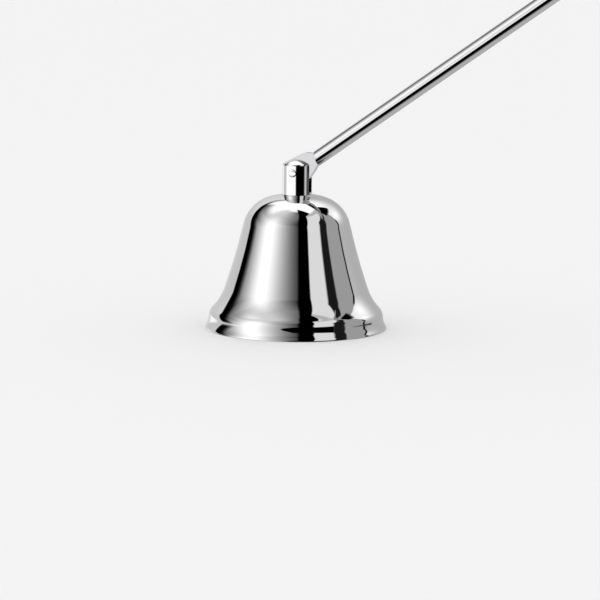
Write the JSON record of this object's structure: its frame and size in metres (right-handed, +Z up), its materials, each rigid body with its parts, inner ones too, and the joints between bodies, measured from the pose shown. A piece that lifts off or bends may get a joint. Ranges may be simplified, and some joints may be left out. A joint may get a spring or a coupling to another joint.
{
  "type": "candle snuffer",
  "caption": "Flared metal bell that hangs from a slotted hinge post on a long straight rod handle and stays level while it is lowered over a burning wick to put it out.",
  "frame": {"origin": "centre of the bell's mouth, on the flat plane of its rim", "axes": "+Z up along the bell's axis, out of its crown; +X the way the handle rises; +Y along the hinge axis"},
  "size_m": [0.1781, 0.044, 0.1478],
  "materials": {
    "bell_chrome": "mirror polished and plated sheet",
    "post_chrome": "mirror polished and plated, turned",
    "pin_steel": "riveted and polished flush",
    "spring_steel": "bright zinc, satin",
    "nut_steel": "bright zinc, satin",
    "handle_chrome": "mirror polished and plated rod"
  },
  "bodies": {
    "handle": {"handle": "handle_chrome"},
    "bell_head": {"bell": "bell_chrome", "hinge_post": "post_chrome", "pivot_pin": "pin_steel", "lock_washer": "spring_steel", "post_nut": "nut_steel"}
  },
  "joints": [
    {"name": "bell_swing", "type": "hinge", "parent": "handle", "child": "bell_head", "pos_m": [0, 0, 0.0379], "axis": [0, 1, 0], "range_deg": [-58, 168]}
  ]
}
